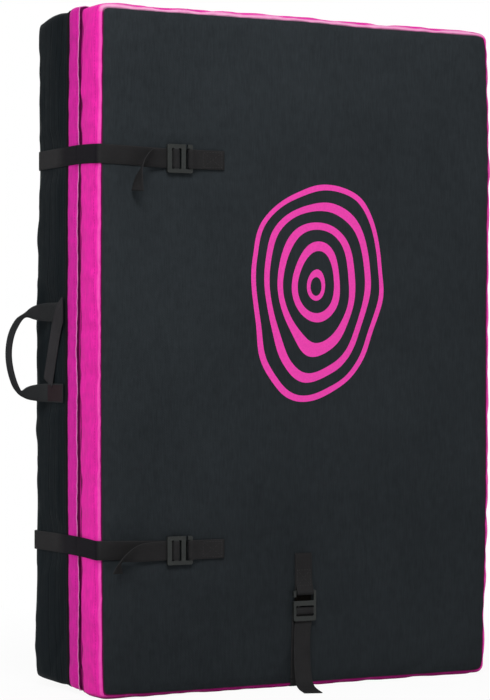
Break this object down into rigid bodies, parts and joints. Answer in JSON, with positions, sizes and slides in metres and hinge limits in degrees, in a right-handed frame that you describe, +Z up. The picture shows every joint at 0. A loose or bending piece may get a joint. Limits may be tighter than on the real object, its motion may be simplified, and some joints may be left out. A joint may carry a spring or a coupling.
{
  "type": "folding bouldering crash pad",
  "caption": "Fold-in-half bouldering crash pad standing closed on edge, with hook-buckle closure straps, a side carry handle and a backpack harness.",
  "frame": {"origin": "on the floor, under the middle of the whole part with its straps and handle", "axes": "+Z up along the pad's height; -Y is the way the front half's outer face looks; the pad opens at -X and folds at +X"},
  "size_m": [0.658, 0.2906, 0.8995],
  "materials": {
    "front_shell": "coarse woven nylon, charcoal, matt",
    "black_shell": "coarse woven nylon, black, matt",
    "pink_shell": "coated nylon, bright pink, slight sheen",
    "closed_cell_foam": "closed-cell foam sheet, grey, hidden",
    "open_cell_foam": "open-cell foam, cream, hidden",
    "base_sheet": "stiff plastic sheet, hidden",
    "webbing": "flat nylon webbing, charcoal",
    "moulded": "moulded nylon buckle, dark grey"
  },
  "bodies": {
    "rear_half": {"rear_landing_panel": "black_shell", "rear_gusset": "pink_shell", "rear_top_foam": "closed_cell_foam", "rear_core_foam": "open_cell_foam", "rear_base_sheet": "base_sheet", "back_padding": "closed_cell_foam", "back_cover": "black_shell", "cover_binding": "black_shell", "hinge_fabric": "black_shell", "upper_strap_rear_webbing": "webbing", "lower_strap_rear_webbing": "webbing", "bottom_strap_rear_webbing": "webbing", "harness_yoke": "black_shell", "lower_webbing_left": "webbing", "lower_webbing_right": "webbing"},
    "front_half": {"front_base_panel": "front_shell", "front_gusset": "pink_shell", "front_core_foam": "open_cell_foam", "front_top_foam": "closed_cell_foam", "front_landing_panel": "black_shell", "upper_strap_anchor": "webbing", "lower_strap_anchor": "webbing", "bottom_strap_anchor": "webbing", "bottom_strap_under_webbing": "webbing"},
    "upper_strap": {"upper_strap_hook_buckle": "moulded", "upper_strap_webbing": "webbing"},
    "lower_strap": {"lower_strap_hook_buckle": "moulded", "lower_strap_webbing": "webbing"},
    "bottom_strap": {"bottom_strap_hook_buckle": "moulded", "bottom_strap_webbing": "webbing"},
    "handle": {"carry_handle": "webbing", "handle_strand": "webbing"},
    "shoulder_left": {"shoulder_pad_left": "black_shell", "ladder_lock_left": "moulded", "lock_tail_left": "webbing"},
    "shoulder_right": {"shoulder_pad_right": "black_shell", "ladder_lock_right": "moulded", "lock_tail_right": "webbing"},
    "belt_left": {"belt_wing_left": "black_shell", "belt_webbing_left": "webbing", "buckle_insert": "moulded"},
    "belt_right": {"belt_wing_right": "black_shell", "belt_webbing_right": "webbing", "buckle_socket": "moulded"}
  },
  "joints": [
    {"name": "fold", "type": "hinge", "parent": "rear_half", "child": "front_half", "pos_m": [0.32645, -0.00825, 0], "axis": [0, 0, 1], "range_deg": [0, 180]},
    {"name": "upper_strap_swing", "type": "hinge", "parent": "front_half", "child": "upper_strap", "pos_m": [-0.14655, -0.0759, 0.7005], "axis": [0, 0, 1], "range_deg": [0, 110]},
    {"name": "lower_strap_swing", "type": "hinge", "parent": "front_half", "child": "lower_strap", "pos_m": [-0.14655, -0.07584, 0.1895], "axis": [0, 0, 1], "range_deg": [0, 110]},
    {"name": "bottom_strap_swing", "type": "hinge", "parent": "front_half", "child": "bottom_strap", "pos_m": [0.02465, -0.07567, 0.1272], "axis": [-1, 0, 0], "range_deg": [0, 95]},
    {"name": "handle_swing", "type": "hinge", "parent": "rear_half", "child": "handle", "pos_m": [-0.2793, 0.03635, 0.5015], "axis": [0, 0, 1], "range_deg": [0, 95]},
    {"name": "shoulder_left_swing", "type": "hinge", "parent": "rear_half", "child": "shoulder_left", "pos_m": [-0.04635, 0.14355, 0.7597], "axis": [1, 0, 0], "range_deg": [0, 50]},
    {"name": "shoulder_right_swing", "type": "hinge", "parent": "rear_half", "child": "shoulder_right", "pos_m": [0.09365, 0.14355, 0.7597], "axis": [1, 0, 0], "range_deg": [0, 50]},
    {"name": "belt_left_swing", "type": "hinge", "parent": "rear_half", "child": "belt_left", "pos_m": [-0.13635, 0.14355, 0.105], "axis": [0, 0, 1], "range_deg": [0, 100]},
    {"name": "belt_right_swing", "type": "hinge", "parent": "rear_half", "child": "belt_right", "pos_m": [0.18365, 0.14355, 0.105], "axis": [0, 0, -1], "range_deg": [0, 100]}
  ]
}
